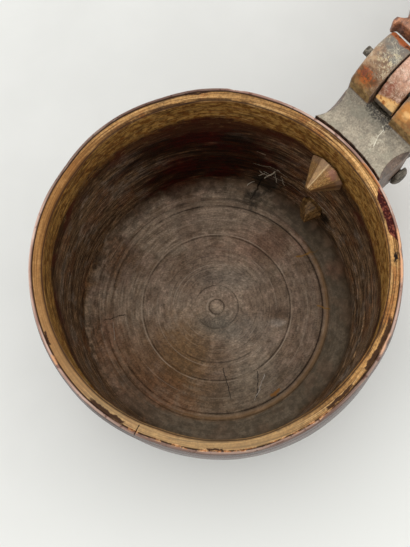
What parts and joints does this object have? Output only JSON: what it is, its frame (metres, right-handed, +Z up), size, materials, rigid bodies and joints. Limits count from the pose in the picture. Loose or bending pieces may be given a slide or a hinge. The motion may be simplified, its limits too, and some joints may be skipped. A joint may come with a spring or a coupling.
{
  "type": "lidded wooden tankard",
  "caption": "Turned wooden drinking tankard with a pegged carved handle and a flat hinged lid that swings fully open over the handle",
  "frame": {"origin": "centre of the base's underside", "axes": "+Z up, +X towards the handle, +Y to the left of the handle as seen from the vessel"},
  "size_m": [0.3896, 0.1672, 0.1445],
  "materials": {
    "vessel_wood": "old worn varnish, tan where the lip is rubbed bare",
    "handle_wood": "worn smooth, darker on the back",
    "peg_wood": "bare wood, cut with a knife",
    "lid_wood": "old polish, semi-gloss"
  },
  "bodies": {
    "vessel": {"body": "vessel_wood", "handle": "handle_wood", "upper_handle_peg": "peg_wood", "lower_handle_peg": "peg_wood", "neck_cross_peg": "handle_wood", "hinge_pin": "peg_wood"},
    "lid": {"lid": "lid_wood", "thumbpiece": "lid_wood"}
  },
  "joints": [
    {"name": "lid_hinge", "type": "hinge", "parent": "vessel", "child": "lid", "pos_m": [0.112, 0, 0.13], "axis": [0, -1, 0], "range_deg": [0, 180]}
  ]
}
